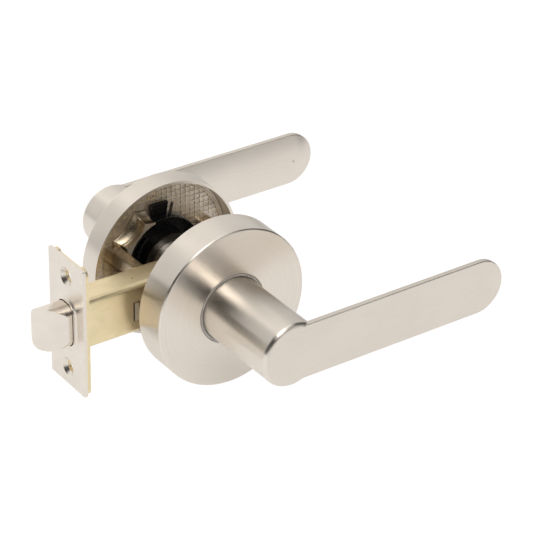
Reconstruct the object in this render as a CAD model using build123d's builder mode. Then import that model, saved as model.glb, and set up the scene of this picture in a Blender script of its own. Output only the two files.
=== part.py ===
from build123d import *
import os
from math import atan2, cos, degrees, radians, sin

# Lever handle lockset for a hinged door: two lever halves on one square spindle, with a tubular
# spring latch between them. Millimetres. The origin is on the spindle's axis at the latch's middle.
# Y runs along the spindle, -Y to the front lever and +Y to the rear one. +X is towards the levers'
# tips, -X towards the door's edge and the latch bolt, and +Z is up.

os.makedirs("parts", exist_ok=True)

# ---- driving dimensions -------------------------------------------------------------------------
BACKSET = 60.0                  # spindle axis to the faceplate's outer face
LEVER_TURN = 45.0               # degrees, from rest to a drawn-back bolt
RUN = 0.08                      # radial play of a turning fit
PLAY = 0.3                      # play between parts that slide past each other

ROSE_R = 34.5
ROSE_WALL = 1.2
ROSE_EDGE = 0.8                 # rounding of the rose's outer edge
ROSE_HOLE_R = 15.3

NECK_R = 13.8
NECK_ROUND = 1.9                # rounding of the neck's outer end
BEARING_R = 9.0                 # the lever's bearing behind its neck
GROOVE_R = 8.35

BLADE_HALF = 12.0               # half the blade's height, and the radius of its tip
BLADE_END = 103.8               # the blade's tip, from the spindle's axis
BLADE_EDGE_T = 2.5              # thickness along the long edges
BLADE_MID_T = 5.3               # thickness along the middle
BLADE_ROUND = 0.4
BLADE_START = 5.0               # inside the neck

SPINDLE = 7.0                   # across the flats
SPINDLE_SOCKET = 7.1
SPINDLE_REACH = 40.0            # each way from the latch
SET_SCREW_R = 2.5
SET_SCREW_OUT = 9.0             # from the rose's face
SET_SCREW_HEX, SET_SCREW_HEX_DEPTH = 2.5, 3.0
SET_SCREW_GAP, SET_SCREW_SUNK = 0.02, 1.0
SPINDLE_CORNER = 0.4
CLIP_GAP = (250, 290)           # degrees from +X

# Each half, from the door outwards: its side of the door, the rose's rim and depth, the lever's
# outer face, and the inner end of the lever's bearing.
HALVES = {
    "front": dict(side=-1, rim=-12.6, depth=14.3, lever=-68.7, bearing_end=-8.6),
    "rear": dict(side=1, rim=20.3, depth=10.4, lever=65.3, bearing_end=14.0),
}

# Heights in each half, measured outwards from its rim.
FLOOR_IN, FLOOR_OUT = 7.2, 9.1  # the cast base's floor
WALL_TOP = 1.0                  # the fluted wall round the spring cage
CAGE_FACE, CAGE_WALL_IN = 2.4, 3.4
WINDOW_IN = 4.9
ROTOR_IN, ROTOR_OUT = 5.3, 6.7
SHOULDER = 6.75                 # where the neck steps down to its bearing
CLIP_IN, CLIP_OUT = -2.9, -2.0
GROOVE_PLAY = 0.05
WASHER_IN = -1.9
SPRING_MID = 4.25

BASE_R = 33.1
BASE_HOLE_R = 14.4
FLUTE_PEAK_R, FLUTE_FLOOR_R = 21.0, 18.3
FLUTE_PEAKS = (83, 118, 153, 188)   # degrees from +X, and mirrored below
WALL_ANGLES = (106, 180)            # clear of the tab
CAGE_R, CAGE_WALL, CAGE_HOLE_R = 17.4, 1.0, 11.2
CAGE_PLAY = 0.3
SLOT_RADII, SLOT_ANGLES = (12.8, 16.0), (128, 205)  # the opening in the cage's face
WINDOW_ANGLES = (27, 114)       # clear of the tab's whole swing
ROTOR_R, TAB_R = 15.9, 23.2
TAB_ANGLES = (80, 101)
SPRING_R, SPRING_WIRE = 14.4, 1.2
SPRING_TURN = 325.0
LEG_ANGLE, LEG_HALF = 77.0, 5.0
WASHER_R = 11.8
CLIP_R, CLIP_BORE_R = 12.4, 8.4
BUSH_IN_R, BUSH_OUT_R = 14.1, 15.1

SCREW_X = 22.9                  # through screws, each side of the spindle
SCREW_R = 1.95
SCREW_HEAD_R, SCREW_HEAD_T = 3.6, 2.2
SCREW_END = 25.5
LUG_R, LUG_WIDTH, LUG_HEIGHT = 26.7, 8.0, 18.8  # the lugs that fit the door's bore
LUG_END = 8.0                   # just behind the latch
LUG_CORNER = 1.6
LUG_GROOVE_Z, LUG_GROOVE_T, LUG_GROOVE_DEPTH = 4.7, 1.8, 1.0
SCREW_PLAY, THREAD_PLAY, SCREW_CLEAR = 0.25, 0.05, 0.6
DRILL_DEPTH = 30.0
CROSS_LENGTH, CROSS_WIDTH = 4.2, 1.0

CASE_Y, CASE_Z = 13.5, 22.0
CASE_WALL, CASE_CORNER = 1.0, 2.2
CASE_END = 14.0
PLATE_Y, PLATE_Z = 25.4, 57.0
PLATE_T = 1.4                   # of the faceplate, and of the plate behind it
PLATE_CORNER, BACKPLATE_CORNER = 0.4, 3.2
PLATE_SCREW_SPACING = 41.3
PLATE_SCREW_R, PLATE_SINK_R, PLATE_SINK_ANGLE = 2.3, 4.1, 100
NOTCH_Y, NOTCH_DEPTH = 16.4, 1.0    # in the back plate's top and bottom edges
BORDER, BORDER_T, BORDER_TAPER = 2.5, 0.5, 60

BOLT_Y, BOLT_Z, BOLT_CORNER = 10.9, 18.9, 4.4
BOLT_TIP, BOLT_REAR = -72.9, -48.5
BOLT_PLAY = 0.35                # in the plates
BOLT_LAND = 0.9                 # width of the bolt's blunt tip
BEVEL_END = -61.0
BEVEL_BULGE = 2.6
BOLT_BORE_R, BOLT_BORE_END = 3.2, -60.0
COIL_R, COIL_WIRE, COIL_PITCH = 2.4, 0.8, 3.2
STOP_X, STOP_T = -33.0, 2.0     # the bolt spring's fixed end
EAR_Z, EAR_HEIGHT = -1.0, 8.0   # its ear, through the case's front wall
EAR_OUT, EAR_PLAY = 0.4, 0.5
DIMPLE_AT, DIMPLE_R, DIMPLE_DEPTH = (-30.6, -1.0), 0.45, 0.4    # on the case's top

HUB_R = 5.9
HUB_PLAY = 0.05                 # at each face of the case
HUB_COLLAR_R, HUB_COLLAR_T, HUB_COLLAR_GAP = 7.4, 1.0, 0.2
HUB_PIN_R, HUB_PIN_AT, LOBE_R = 1.1, 8.0, 1.9
PIVOT_X, PIVOT_Z, PIVOT_R = -12.5, 7.2, 1.5
ROCKER_REACH = 14.5             # from the pivot to the pin that draws the tail
ROCKER_RATIO = 1.09             # rocker's turn per turn of the lever
ROCKER_EYE_R, ROCKER_TIP_R = 2.6, 2.1
FORK_END, FORK_HALF, FORK_FLOOR = 8.0, 2.5, 4.9
TIP_PIN_R = 1.1

# Layers inside the latch case, along Y.
LOBE_IN, LOBE_OUT = 0.2, 1.8
ROCKER_LOW, ROCKER_HIGH = 2.2, 3.5
TAIL_LOW, TAIL_HIGH = 3.9, 5.1

TAIL_FRONT, TAIL_REAR = -55.5, -19.4
TAIL_TOP, TAIL_BOTTOM = 5.2, -9.7
HOOK_END, HOOK_TOP, HOOK_FLOOR = -15.4, -5.4, -8.6
RIVET_X, RIVET_R, RIVET_BOTTOM = -52.0, 0.9, 1.6
RIVET_HEAD_R, RIVET_HEAD_T = 1.6, 0.3
RIVET_HEIGHTS = (-6.6, 3.5)

# ---- worked out from these ----------------------------------------------------------------------
BLADE_TIP_X = BLADE_END - BLADE_HALF
CASE_FRONT = -BACKSET + PLATE_T                     # the case passes through the back plate
LINE_ANGLE = degrees(atan2(PIVOT_Z, -PIVOT_X))      # hub to pivot, above -X
HALF_SWING = ROCKER_RATIO * LEVER_TURN / 2          # the rocker's, each side of upright
BOLT_TRAVEL = 2 * ROCKER_REACH * sin(radians(HALF_SWING))


def across(y):
    """Sketch plane across the spindle at y: local x is +X, local y is +Z, and it faces -Y."""
    return Plane.XZ.offset(-y)


def along(x):
    """Sketch plane across the latch at x: local x is +Y, local y is +Z, and it faces +X."""
    return Plane.YZ.offset(x)


def layer(half, inner, outer):
    """Sketch plane and thickness of a layer of one half, between two heights from its rim."""
    low, high = sorted(half["rim"] + half["side"] * height for height in (inner, outer))
    return across(high), high - low


def wedge(start, end, reach=60):
    """Corners of a wedge from the axis between two angles, for trimming rings."""
    angles = (start, (start + end) / 2, end)
    return [(0, 0)] + [(reach * cos(radians(a)), reach * sin(radians(a))) for a in angles]


def polar(radius, angle):
    """A point across the spindle, by its radius and its angle from +X."""
    return radius * cos(radians(angle)), radius * sin(radians(angle))


# ---- the two lever halves -----------------------------------------------------------------------
for name, half in HALVES.items():
    side, rim, depth = half["side"], half["rim"], half["depth"]
    # local x is the distance from the spindle's axis, local y the height from the rim
    outwards = Plane(origin=(0, rim, 0), x_dir=(1, 0, 0), z_dir=(0, 0, side))
    spindle_axis = Axis((0, 0, 0), (0, side, 0))

    # rose: the round cover that stands on the door
    with BuildPart() as rose:
        with BuildSketch(outwards) as wall:
            with BuildLine():
                Polyline(
                    (ROSE_R, 0), (ROSE_R, depth), (ROSE_HOLE_R, depth), (ROSE_HOLE_R, depth - ROSE_WALL),
                    (ROSE_R - ROSE_WALL, depth - ROSE_WALL), (ROSE_R - ROSE_WALL, 0), close=True,
                )
            make_face()
            fillet(wall.vertices().sort_by_distance((ROSE_R, depth))[0], ROSE_EDGE)
        revolve(axis=spindle_axis)
    rose.part.label = f"{name}_rose"
    export_step(rose.part, f"parts/{name}_rose.step")

    # base: the casting under the rose, with the ribs and bosses that hold the spring cage
    with BuildPart() as base:
        plane, thickness = layer(half, FLOOR_IN, FLOOR_OUT)
        with BuildSketch(plane):
            Circle(BASE_R)
            Circle(BASE_HOLE_R, mode=Mode.SUBTRACT)
        extrude(amount=thickness)
        plane, thickness = layer(half, WALL_TOP, FLOOR_IN)
        for mirrored in (1, -1):
            with BuildSketch(plane):
                peaks = [polar(FLUTE_PEAK_R, mirrored * angle) for angle in FLUTE_PEAKS]
                valleys = [
                    polar(FLUTE_FLOOR_R, mirrored * (first + second) / 2)
                    for first, second in zip(FLUTE_PEAKS, FLUTE_PEAKS[1:])
                ]
                with BuildLine():
                    for first, valley, second in zip(peaks, valleys, peaks[1:]):
                        ThreePointArc(first, valley, second)
                    Polyline(peaks[-1], (0, 0), peaks[0])
                make_face()
                Polygon(*[(x, mirrored * z) for x, z in wedge(*WALL_ANGLES)], align=None, mode=Mode.INTERSECT)
                Circle(CAGE_R + CAGE_PLAY, mode=Mode.SUBTRACT)
            extrude(amount=thickness)
        if side > 0:
            # two lugs reach past the latch and fit the door's bore
            with BuildSketch(across(rim + FLOOR_IN)) as lugs:
                with Locations((-SCREW_X, 0), (SCREW_X, 0)):
                    RectangleRounded(LUG_WIDTH, LUG_HEIGHT, LUG_CORNER)
                Circle(LUG_R, mode=Mode.INTERSECT)
                fillet(lugs.vertices().filter_by(lambda v: abs(v.X) > SCREW_X), LUG_CORNER)
                with Locations(*[(x, z) for x in (-LUG_R, LUG_R) for z in (-LUG_GROOVE_Z, LUG_GROOVE_Z)]):
                    Rectangle(2 * LUG_GROOVE_DEPTH, LUG_GROOVE_T, mode=Mode.SUBTRACT)
            extrude(amount=rim + FLOOR_IN - LUG_END)
        drill = SCREW_R + (THREAD_PLAY if side > 0 else SCREW_PLAY)
        with BuildSketch(across(SCREW_END + PLAY if side > 0 else rim)):
            with Locations((-SCREW_X, 0), (SCREW_X, 0)):
                Circle(drill)
        extrude(amount=DRILL_DEPTH, mode=Mode.SUBTRACT)
    base.part.label = f"{name}_base"
    export_step(base.part, f"parts/{name}_base.step")

    # spring cage: a pressed cup that stands on the base, with a window for the rotor's tab
    with BuildPart() as cage:
        plane, thickness = layer(half, CAGE_FACE, FLOOR_IN)
        with BuildSketch(plane):
            Circle(CAGE_R)
        extrude(amount=thickness)
        plane, thickness = layer(half, CAGE_WALL_IN, FLOOR_IN)
        with BuildSketch(plane):
            Circle(CAGE_R - CAGE_WALL)
        extrude(amount=thickness, mode=Mode.SUBTRACT)
        with BuildSketch(plane):
            Polygon(*wedge(LEG_ANGLE - LEG_HALF, LEG_ANGLE + LEG_HALF), align=None)
        extrude(amount=thickness, mode=Mode.SUBTRACT)
        plane, thickness = layer(half, WINDOW_IN, FLOOR_IN)
        with BuildSketch(plane):
            Polygon(*wedge(*WINDOW_ANGLES), align=None)
        extrude(amount=thickness, mode=Mode.SUBTRACT)
        plane, thickness = layer(half, CAGE_FACE, CAGE_WALL_IN)
        with BuildSketch(plane):
            Circle(SLOT_RADII[1])
            Circle(SLOT_RADII[0], mode=Mode.SUBTRACT)
            Polygon(*wedge(*SLOT_ANGLES), align=None, mode=Mode.INTERSECT)
            Circle(CAGE_HOLE_R)
        extrude(amount=thickness, mode=Mode.SUBTRACT)
    cage.part.label = f"{name}_spring_cage"
    export_step(cage.part, f"parts/{name}_spring_cage.step")

    # rotor: the flat cam that turns with the lever and winds the return spring
    with BuildPart() as rotor:
        plane, thickness = layer(half, ROTOR_IN, ROTOR_OUT)
        with BuildSketch(plane):
            Circle(TAB_R)
            Polygon(*wedge(*TAB_ANGLES), align=None, mode=Mode.INTERSECT)
            Circle(ROTOR_R)
            Circle(BEARING_R, mode=Mode.SUBTRACT)
        extrude(amount=thickness)
    rotor.part.label = f"{name}_rotor"
    export_step(rotor.part, f"parts/{name}_rotor.step")

    # return spring: a torsion ring with a leg that stands out through the cage
    radial = Vector(*polar(1, LEG_ANGLE))
    radial = Vector(radial.X, 0, radial.Y)
    spring_y = rim + side * SPRING_MID
    with BuildPart() as spring:
        with BuildSketch(Plane(origin=(0, 0, 0), x_dir=radial, z_dir=radial.cross(Vector(0, 1, 0)))):
            with Locations((SPRING_R, spring_y)):
                Circle(SPRING_WIRE / 2)
        revolve(axis=Axis.Y, revolution_arc=SPRING_TURN)
        with BuildSketch(Plane(origin=radial * SPRING_R + Vector(0, spring_y, 0), z_dir=radial)):
            Circle(SPRING_WIRE / 2)
        extrude(amount=TAB_R - SPRING_R)
    spring.part.label = f"{name}_return_spring"
    export_step(spring.part, f"parts/{name}_return_spring.step")

    # thrust washer on the cage's face
    with BuildPart() as washer:
        plane, thickness = layer(half, WASHER_IN, CAGE_FACE)
        with BuildSketch(plane):
            Circle(WASHER_R)
            Circle(BEARING_R + RUN, mode=Mode.SUBTRACT)
        extrude(amount=thickness)
    washer.part.label = f"{name}_thrust_washer"
    export_step(washer.part, f"parts/{name}_thrust_washer.step")

    # retaining clip in the bearing's groove
    with BuildPart() as clip:
        plane, thickness = layer(half, CLIP_IN, CLIP_OUT)
        with BuildSketch(plane):
            Circle(CLIP_R)
            Circle(CLIP_BORE_R, mode=Mode.SUBTRACT)
            Polygon(*wedge(*CLIP_GAP), align=None, mode=Mode.SUBTRACT)
        extrude(amount=thickness)
    clip.part.label = f"{name}_retaining_clip"
    export_step(clip.part, f"parts/{name}_retaining_clip.step")

    # neck bush: the ring round the neck in the rose's hole
    with BuildPart() as bush:
        plane, thickness = layer(half, FLOOR_OUT, depth)
        with BuildSketch(plane):
            Circle(BUSH_OUT_R)
            Circle(BUSH_IN_R, mode=Mode.SUBTRACT)
        extrude(amount=thickness)
    bush.part.label = f"{name}_neck_bush"
    export_step(bush.part, f"parts/{name}_neck_bush.step")

    # lever: a round neck with its bearing, and a flat blade with an arched back
    outer = abs(half["lever"] - rim)
    inner = abs(half["bearing_end"] - rim)
    edge, middle = outer - BLADE_EDGE_T, outer - BLADE_MID_T
    with BuildPart() as lever:
        with BuildSketch(outwards) as neck:
            with BuildLine():
                Polyline(
                    (0, -inner), (BEARING_R, -inner), (BEARING_R, SHOULDER), (NECK_R, SHOULDER),
                    (NECK_R, outer), (0, outer), close=True,
                )
            make_face()
            fillet(neck.vertices().sort_by_distance((NECK_R, outer))[0], NECK_ROUND)
        revolve(axis=spindle_axis)
        with BuildSketch(Plane(origin=(BLADE_START, rim, 0), x_dir=(0, side, 0), z_dir=(side, 0, 0))) as section:
            with BuildLine():
                Polyline((edge, -BLADE_HALF), (outer, -BLADE_HALF), (outer, BLADE_HALF), (edge, BLADE_HALF))
                ThreePointArc((edge, BLADE_HALF), (middle, 0), (edge, -BLADE_HALF))
            make_face()
            fillet(section.vertices(), BLADE_ROUND)
        extrude(amount=side * (BLADE_TIP_X - BLADE_START))
        # the tip is the section's upper half, turned half way round the blade's end
        tip_plane = Plane(origin=(BLADE_TIP_X, rim, 0), x_dir=(0, side, 0), z_dir=(side, 0, 0))
        with BuildSketch(tip_plane):
            add(section.sketch_local)
            with Locations(((edge + middle) / 2, -BLADE_HALF)):
                Rectangle(BLADE_HALF * 2, BLADE_HALF * 2, mode=Mode.SUBTRACT)
        revolve(axis=Axis((BLADE_TIP_X, 0, 0), (0, 1, 0)), revolution_arc=180)
        # groove for the clip, socket for the spindle, and the set screw's hole underneath
        plane, thickness = layer(half, CLIP_IN - GROOVE_PLAY, CLIP_OUT + GROOVE_PLAY)
        with BuildSketch(plane):
            Circle(BEARING_R + 1)
            Circle(GROOVE_R, mode=Mode.SUBTRACT)
        extrude(amount=thickness, mode=Mode.SUBTRACT)
        socket_ends = sorted((half["bearing_end"] - side, side * (SPINDLE_REACH + 1)))
        with BuildSketch(across(socket_ends[1])):
            Rectangle(SPINDLE_SOCKET, SPINDLE_SOCKET)
        extrude(amount=socket_ends[1] - socket_ends[0], mode=Mode.SUBTRACT)
        with BuildSketch(Plane(origin=(0, rim + side * (depth + SET_SCREW_OUT), 0), z_dir=(0, 0, -1))):
            Circle(SET_SCREW_R)
        extrude(amount=NECK_R + 1, mode=Mode.SUBTRACT)
    lever.part.label = f"{name}_lever"
    export_step(lever.part, f"parts/{name}_lever.step")

# ---- what joins the halves ----------------------------------------------------------------------
with BuildPart() as spindle:
    with BuildSketch(across(SPINDLE_REACH)):
        RectangleRounded(SPINDLE, SPINDLE, SPINDLE_CORNER)
    extrude(amount=2 * SPINDLE_REACH)
spindle.part.label = "spindle"
export_step(spindle.part, "parts/spindle.step")

set_screw_top, set_screw_bottom = -SPINDLE / 2 - SET_SCREW_GAP, -NECK_R + SET_SCREW_SUNK
with BuildPart() as set_screws:
    for half in HALVES.values():
        screw_y = half["rim"] + half["side"] * (half["depth"] + SET_SCREW_OUT)
        with BuildSketch(Plane(origin=(0, screw_y, set_screw_top), z_dir=(0, 0, -1))):
            Circle(SET_SCREW_R)
        extrude(amount=set_screw_top - set_screw_bottom)
        with BuildSketch(Plane(origin=(0, screw_y, set_screw_bottom), z_dir=(0, 0, 1))):
            RegularPolygon(SET_SCREW_HEX / 2, 6, major_radius=False)
        extrude(amount=SET_SCREW_HEX_DEPTH, mode=Mode.SUBTRACT)
set_screws.part.label = "lever_set_screws"
export_step(set_screws.part, "parts/lever_set_screws.step")

screw_seat = HALVES["front"]["rim"] - FLOOR_OUT
with BuildPart() as through_screws:
    with BuildSketch(across(SCREW_END)):
        with Locations((-SCREW_X, 0), (SCREW_X, 0)):
            Circle(SCREW_R)
    extrude(amount=SCREW_END - screw_seat)
    with BuildSketch(across(screw_seat)):
        with Locations((-SCREW_X, 0), (SCREW_X, 0)):
            Circle(SCREW_HEAD_R)
    extrude(amount=SCREW_HEAD_T)
    with BuildSketch(across(screw_seat - SCREW_HEAD_T / 2)):
        with Locations((-SCREW_X, 0), (SCREW_X, 0)):
            Rectangle(CROSS_LENGTH, CROSS_WIDTH)
            Rectangle(CROSS_WIDTH, CROSS_LENGTH)
    extrude(amount=SCREW_HEAD_T, mode=Mode.SUBTRACT)
through_screws.part.label = "through_screws"
export_step(through_screws.part, "parts/through_screws.step")

# ---- the latch's plates and case ----------------------------------------------------------------
outward = Plane(origin=(-BACKSET, 0, 0), x_dir=(0, -1, 0), z_dir=(-1, 0, 0))

with BuildPart() as faceplate:
    with BuildSketch(along(-BACKSET)):
        RectangleRounded(PLATE_Y, PLATE_Z, PLATE_CORNER)
    extrude(amount=PLATE_T)
    # a low raised border round the bolt
    with BuildSketch(outward):
        RectangleRounded(BOLT_Y + 2 * BORDER, BOLT_Z + 2 * BORDER, BOLT_CORNER + BORDER)
    extrude(amount=BORDER_T, taper=BORDER_TAPER)
    with BuildSketch(along(-BACKSET - 1)):
        RectangleRounded(BOLT_Y + 2 * BOLT_PLAY, BOLT_Z + 2 * BOLT_PLAY, BOLT_CORNER + BOLT_PLAY)
    extrude(amount=PLATE_T + 2, mode=Mode.SUBTRACT)
    with Locations(outward):
        with GridLocations(0, PLATE_SCREW_SPACING, 1, 2):
            CounterSinkHole(
                PLATE_SCREW_R, PLATE_SINK_R, depth=PLATE_T + 1, counter_sink_angle=PLATE_SINK_ANGLE
            )
faceplate.part.label = "latch_faceplate"
export_step(faceplate.part, "parts/latch_faceplate.step")

with BuildPart() as backplate:
    with BuildSketch(along(-BACKSET + PLATE_T)):
        RectangleRounded(PLATE_Y, PLATE_Z, BACKPLATE_CORNER)
        with GridLocations(0, PLATE_Z, 1, 2):
            SlotOverall(NOTCH_Y, 2 * NOTCH_DEPTH, mode=Mode.SUBTRACT)
        with GridLocations(0, PLATE_SCREW_SPACING, 1, 2):
            Circle(PLATE_SCREW_R, mode=Mode.SUBTRACT)
        RectangleRounded(CASE_Y, CASE_Z, CASE_CORNER, mode=Mode.SUBTRACT)
    extrude(amount=PLATE_T)
backplate.part.label = "latch_backplate"
export_step(backplate.part, "parts/latch_backplate.step")

with BuildPart() as case:
    with BuildSketch(along(CASE_FRONT)):
        RectangleRounded(CASE_Y, CASE_Z, CASE_CORNER)
        RectangleRounded(
            CASE_Y - 2 * CASE_WALL, CASE_Z - 2 * CASE_WALL, CASE_CORNER - CASE_WALL, mode=Mode.SUBTRACT
        )
    extrude(amount=CASE_END - CASE_FRONT)
    with BuildSketch(across(CASE_Y)):
        Circle(HUB_R + RUN)
        with Locations((-SCREW_X, 0)):
            Circle(SCREW_R + SCREW_CLEAR)
        with Locations((PIVOT_X, PIVOT_Z)):
            Circle(PIVOT_R)
    extrude(amount=2 * CASE_Y, mode=Mode.SUBTRACT)
    with BuildSketch(along(STOP_X - EAR_PLAY)):
        with Locations((-CASE_Y / 2, EAR_Z)):
            Rectangle(3 * CASE_WALL, EAR_HEIGHT + 2 * EAR_PLAY)
    extrude(amount=STOP_T + 2 * EAR_PLAY, mode=Mode.SUBTRACT)
    with BuildSketch(Plane.XY.offset(CASE_Z / 2)):
        with Locations(DIMPLE_AT):
            Circle(DIMPLE_R)
    extrude(amount=-DIMPLE_DEPTH, mode=Mode.SUBTRACT)
case.part.label = "latch_case"
export_step(case.part, "parts/latch_case.step")

stop_front, stop_top = -CASE_Y / 2 + CASE_WALL, CASE_Z / 2 - CASE_CORNER
with BuildPart() as stop:
    with BuildSketch(along(STOP_X)):
        with BuildLine():
            Polyline(
                (stop_front, -stop_top), (TAIL_LOW - PLAY, -stop_top), (TAIL_LOW - PLAY, stop_top),
                (stop_front, stop_top), close=True,
            )
        make_face()
        with Locations((stop_front, EAR_Z)):
            Rectangle(2 * (CASE_WALL + EAR_OUT), EAR_HEIGHT)
    extrude(amount=STOP_T)
stop.part.label = "spring_stop"
export_step(stop.part, "parts/spring_stop.step")

with BuildPart() as pivot_pin:
    with BuildSketch(across(CASE_Y / 2)):
        with Locations((PIVOT_X, PIVOT_Z)):
            Circle(PIVOT_R)
    extrude(amount=CASE_Y)
pivot_pin.part.label = "rocker_pivot_pin"
export_step(pivot_pin.part, "parts/rocker_pivot_pin.step")

# ---- the latch's works --------------------------------------------------------------------------
hub_pin = polar(HUB_PIN_AT, 180 - (LINE_ANGLE - LEVER_TURN / 2))
with BuildPart() as hub:
    with BuildSketch(across(CASE_Y / 2 - HUB_PLAY)):
        Circle(HUB_R)
    extrude(amount=CASE_Y - 2 * HUB_PLAY)
    with BuildSketch(across(-CASE_Y / 2 + CASE_WALL + HUB_COLLAR_GAP + HUB_COLLAR_T)):
        Circle(HUB_COLLAR_R)
    extrude(amount=HUB_COLLAR_T)
    with BuildSketch(across(LOBE_OUT)):
        Circle(HUB_R)
        with Locations(hub_pin):
            Circle(LOBE_R)
        make_hull()
    extrude(amount=LOBE_OUT - LOBE_IN)
    with BuildSketch(across(CASE_Y)):
        Rectangle(SPINDLE_SOCKET, SPINDLE_SOCKET)
    extrude(amount=2 * CASE_Y, mode=Mode.SUBTRACT)
    with BuildSketch(across(LOBE_OUT + 1)):
        with Locations(hub_pin):
            Circle(HUB_PIN_R)
    extrude(amount=LOBE_OUT - LOBE_IN + 2, mode=Mode.SUBTRACT)
hub.part.label = "latch_hub"
export_step(hub.part, "parts/latch_hub.step")

with BuildPart() as drive_pin:
    with BuildSketch(across(ROCKER_HIGH)):
        with Locations(hub_pin):
            Circle(HUB_PIN_R)
    extrude(amount=ROCKER_HIGH - LOBE_IN)
drive_pin.part.label = "hub_drive_pin"
export_step(drive_pin.part, "parts/hub_drive_pin.step")

# The rocker at rest leans HALF_SWING from upright, and its fork points that much below the line to
# the hub. The fork takes the hub's pin and the long arm draws the tail.
tip_x, tip_z = polar(ROCKER_REACH, -90 - HALF_SWING)
tip_pin_at = (PIVOT_X + tip_x, PIVOT_Z + tip_z)
fork_angle = -LINE_ANGLE - HALF_SWING
fork_end, fork_floor = polar(FORK_END / 2, fork_angle), polar((FORK_FLOOR + FORK_END + 2) / 2, fork_angle)
with BuildPart() as rocker:
    with BuildSketch(across(ROCKER_HIGH)):
        with Locations((PIVOT_X, PIVOT_Z)):
            Circle(ROCKER_EYE_R)
        with Locations(tip_pin_at):
            Circle(ROCKER_TIP_R)
        make_hull()
        with Locations(Location((PIVOT_X + fork_end[0], PIVOT_Z + fork_end[1], 0), (0, 0, fork_angle))):
            Rectangle(FORK_END, 2 * FORK_HALF)
        with Locations(Location((PIVOT_X + fork_floor[0], PIVOT_Z + fork_floor[1], 0), (0, 0, fork_angle))):
            Rectangle(FORK_END + 2 - FORK_FLOOR, 2 * (HUB_PIN_R + PLAY), mode=Mode.SUBTRACT)
        with Locations((PIVOT_X, PIVOT_Z)):
            Circle(PIVOT_R + RUN, mode=Mode.SUBTRACT)
        with Locations(tip_pin_at):
            Circle(TIP_PIN_R, mode=Mode.SUBTRACT)
    extrude(amount=ROCKER_HIGH - ROCKER_LOW)
rocker.part.label = "rocker"
export_step(rocker.part, "parts/rocker.step")

with BuildPart() as tip_pin:
    with BuildSketch(across(TAIL_HIGH)):
        with Locations(tip_pin_at):
            Circle(TIP_PIN_R)
    extrude(amount=TAIL_HIGH - ROCKER_LOW)
tip_pin.part.label = "rocker_tip_pin"
export_step(tip_pin.part, "parts/rocker_tip_pin.step")

# ---- the bolt -----------------------------------------------------------------------------------
bevel_start, bevel_stop = Vector(BOLT_TIP, BOLT_Y / 2 - BOLT_LAND), Vector(BEVEL_END, -BOLT_Y / 2 - 0.1)
chord = bevel_stop - bevel_start
bevel_mid = (bevel_start + bevel_stop) / 2 + Vector(chord.Y, -chord.X).normalized() * BEVEL_BULGE
with BuildPart() as bolt:
    with BuildSketch(along(BOLT_TIP)):
        RectangleRounded(BOLT_Y, BOLT_Z, BOLT_CORNER)
    extrude(amount=BOLT_REAR - BOLT_TIP)
    with BuildSketch(Plane.XY.offset(-BOLT_Z)):
        with BuildLine():
            ThreePointArc(bevel_start, bevel_mid, bevel_stop)
            Polyline(
                bevel_stop, (BEVEL_END, -BOLT_Y), (BOLT_TIP - 2, -BOLT_Y), (BOLT_TIP - 2, bevel_start.Y),
                bevel_start,
            )
        make_face()
    extrude(amount=2 * BOLT_Z, mode=Mode.SUBTRACT)
    with BuildSketch(along(BOLT_BORE_END)):
        Circle(BOLT_BORE_R)
    extrude(amount=BOLT_REAR - BOLT_BORE_END, mode=Mode.SUBTRACT)
    # pocket for the tail, and its rivets' holes
    with BuildSketch(across(BOLT_Y)):
        with Locations(((TAIL_FRONT + BOLT_REAR) / 2, (TAIL_TOP + TAIL_BOTTOM) / 2)):
            Rectangle(BOLT_REAR - TAIL_FRONT, TAIL_TOP - TAIL_BOTTOM)
    extrude(amount=BOLT_Y - TAIL_LOW, mode=Mode.SUBTRACT)
    with BuildSketch(across(BOLT_Y)):
        with Locations(*[(RIVET_X, height) for height in RIVET_HEIGHTS]):
            Circle(RIVET_R)
    extrude(amount=BOLT_Y - RIVET_BOTTOM + HUB_PLAY, mode=Mode.SUBTRACT)
bolt.part.label = "latch_bolt"
export_step(bolt.part, "parts/latch_bolt.step")

with BuildPart() as tail:
    with BuildSketch(across(TAIL_HIGH)):
        with BuildLine():
            Polyline(
                (TAIL_FRONT, TAIL_TOP), (TAIL_REAR, TAIL_TOP), (TAIL_REAR, HOOK_TOP), (HOOK_END, HOOK_TOP),
                (HOOK_END, TAIL_BOTTOM), (TAIL_FRONT, TAIL_BOTTOM), close=True,
            )
        make_face()
        # slot past the through screw, open at the back
        slot_front = -SCREW_X - BOLT_TRAVEL - SCREW_R - SCREW_CLEAR
        with Locations(((slot_front + TAIL_REAR) / 2 + 1, 0)):
            Rectangle(TAIL_REAR - slot_front + 2, 2 * (SCREW_R + SCREW_CLEAR), mode=Mode.SUBTRACT)
        # upright slot for the rocker's pin
        with Locations((tip_pin_at[0], (HOOK_FLOOR + HOOK_TOP + 1) / 2)):
            Rectangle(2 * (TIP_PIN_R + PLAY / 2), HOOK_TOP + 1 - HOOK_FLOOR, mode=Mode.SUBTRACT)
        with Locations(*[(RIVET_X, height) for height in RIVET_HEIGHTS]):
            Circle(RIVET_R, mode=Mode.SUBTRACT)
    extrude(amount=TAIL_HIGH - TAIL_LOW)
tail.part.label = "tail_plate"
export_step(tail.part, "parts/tail_plate.step")

with BuildPart() as rivets:
    with BuildSketch(across(TAIL_HIGH)):
        with Locations(*[(RIVET_X, height) for height in RIVET_HEIGHTS]):
            Circle(RIVET_R)
    extrude(amount=TAIL_HIGH - RIVET_BOTTOM)
    with BuildSketch(across(TAIL_HIGH + RIVET_HEAD_T)):
        with Locations(*[(RIVET_X, height) for height in RIVET_HEIGHTS]):
            Circle(RIVET_HEAD_R)
    extrude(amount=RIVET_HEAD_T)
rivets.part.label = "tail_rivets"
export_step(rivets.part, "parts/tail_rivets.step")

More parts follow.
